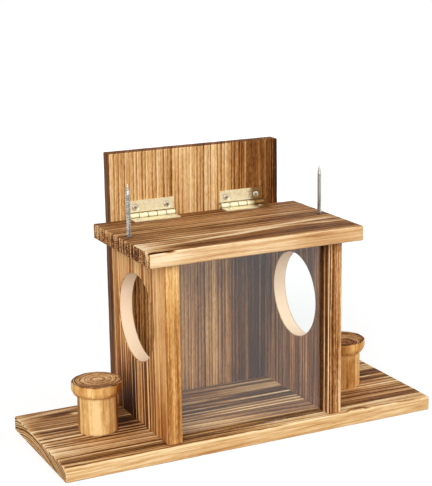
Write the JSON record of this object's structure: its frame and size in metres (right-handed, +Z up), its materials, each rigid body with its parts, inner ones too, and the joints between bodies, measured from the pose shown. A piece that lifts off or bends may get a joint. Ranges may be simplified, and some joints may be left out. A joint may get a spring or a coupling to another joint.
{
  "type": "squirrel feeder box",
  "caption": "Wooden feeder box on a long base: clear front window, round side holes, hinged lid with upright food screws, and a round stool at each end.",
  "frame": {"origin": "middle of the base board's underside, on the surface that the feeder stands on", "axes": "+Z up, -Y out of the front window, +X to the right as seen from the front"},
  "size_m": [0.4, 0.155, 0.2756],
  "materials": {
    "burned_wood": "flame-burned softwood, brushed, satin",
    "lid_wood": "flame-burned softwood, darker, satin",
    "pale_wood": "peeled softwood, honey coloured, satin",
    "clear_acrylic": "clear sheet, polished",
    "brass": "pale brass plate, bright",
    "zinc_steel": "zinc plated steel"
  },
  "bodies": {
    "case": {"base_board": "burned_wood", "left_wall": "burned_wood", "right_wall": "burned_wood", "back_board": "burned_wood", "front_window": "clear_acrylic", "left_stool_post": "pale_wood", "right_stool_post": "pale_wood", "left_stool_seat": "lid_wood", "right_stool_seat": "lid_wood", "left_hinge_back_leaf": "brass", "right_hinge_back_leaf": "brass", "left_hinge_pin": "brass", "right_hinge_pin": "brass", "left_hinge_back_leaf_screw_left": "zinc_steel", "left_hinge_back_leaf_screw_right": "zinc_steel", "right_hinge_back_leaf_screw_left": "zinc_steel", "right_hinge_back_leaf_screw_right": "zinc_steel", "back_screw_left_low": "zinc_steel", "back_screw_left_high": "zinc_steel", "back_screw_right_low": "zinc_steel", "back_screw_right_high": "zinc_steel", "wall_foot_screw_left_front": "zinc_steel", "wall_foot_screw_left_rear": "zinc_steel", "wall_foot_screw_right_front": "zinc_steel", "wall_foot_screw_right_rear": "zinc_steel", "back_foot_screw_left": "zinc_steel", "back_foot_screw_right": "zinc_steel", "stool_screw_left": "zinc_steel", "stool_screw_right": "zinc_steel"},
    "lid": {"lid": "lid_wood", "left_hinge_lid_leaf": "brass", "right_hinge_lid_leaf": "brass", "left_hinge_lid_leaf_screw_left": "zinc_steel", "left_hinge_lid_leaf_screw_right": "zinc_steel", "right_hinge_lid_leaf_screw_left": "zinc_steel", "right_hinge_lid_leaf_screw_right": "zinc_steel", "spike_screw_left": "zinc_steel", "spike_screw_right": "zinc_steel"}
  },
  "joints": [
    {"name": "lid_hinge", "type": "hinge", "parent": "case", "child": "lid", "pos_m": [0, 0.05695, 0.21065], "axis": [-1, 0, 0], "range_deg": [0, 95]}
  ]
}
